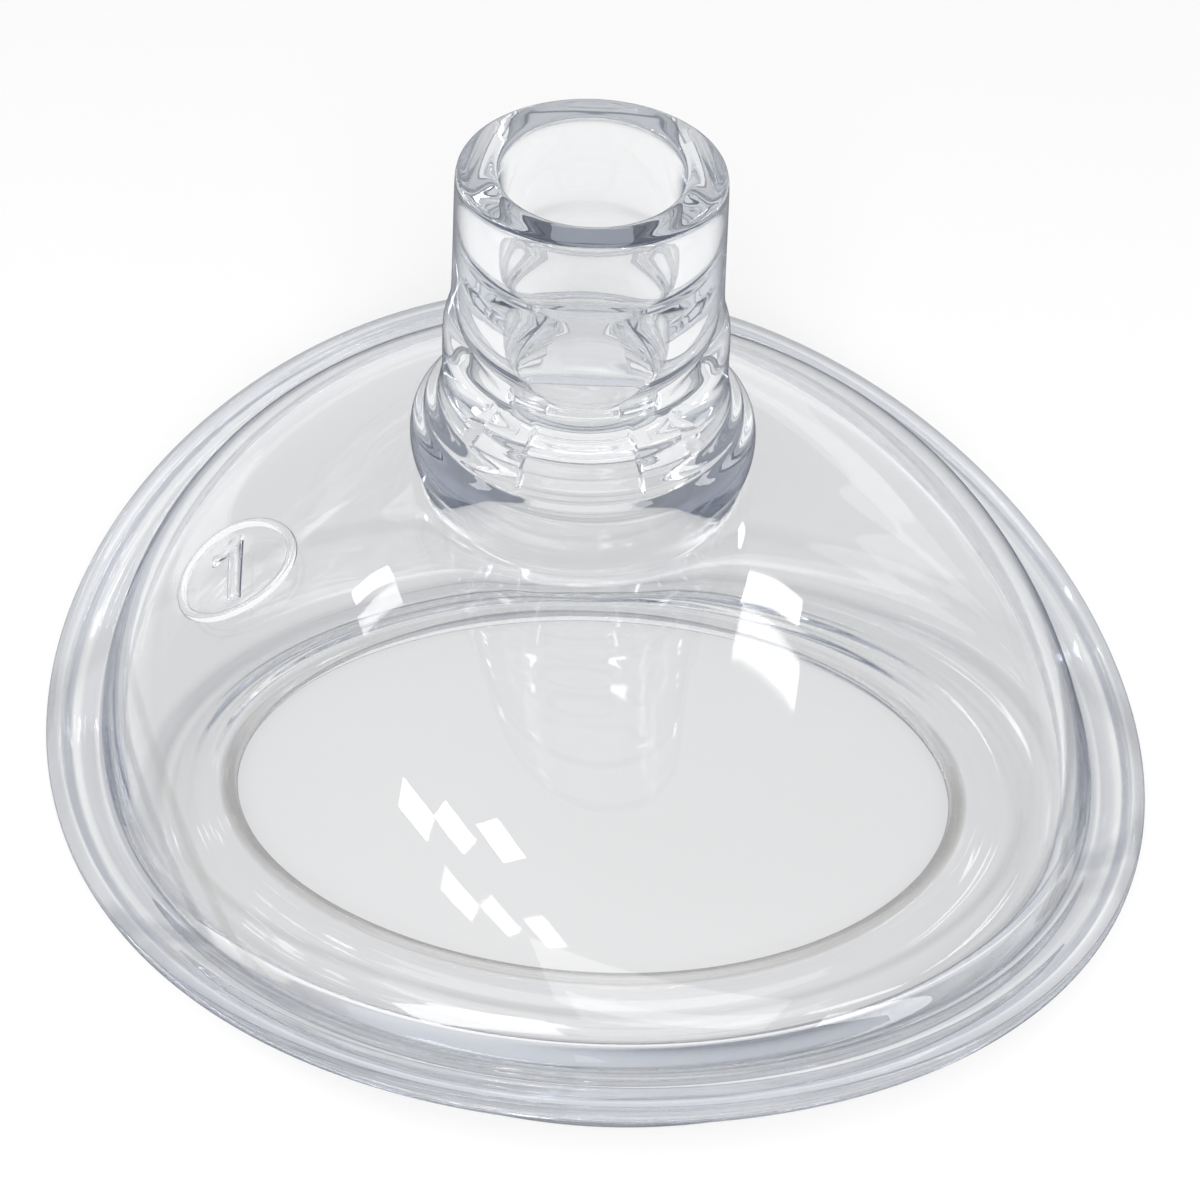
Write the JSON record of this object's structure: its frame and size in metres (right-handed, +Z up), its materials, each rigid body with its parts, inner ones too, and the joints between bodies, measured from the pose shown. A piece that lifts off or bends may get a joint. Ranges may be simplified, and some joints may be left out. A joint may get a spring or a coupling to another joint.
{
  "type": "silicone resuscitation mask",
  "caption": "Clear silicone face mask for resuscitation, with a connector neck, collar bead, dome, flange and curled seal flap.",
  "frame": {"origin": "middle of the mask's length and width, on the plane the seal rests on", "axes": "+Z up along the neck, +Y to the wide chin end, -Y to the nose end, +X across the mask"},
  "size_m": [0.0932, 0.1034, 0.0512],
  "materials": {
    "clear_silicone": "clear gloss"
  },
  "bodies": {
    "root": {"mask_body": "clear_silicone"}
  },
  "joints": []
}
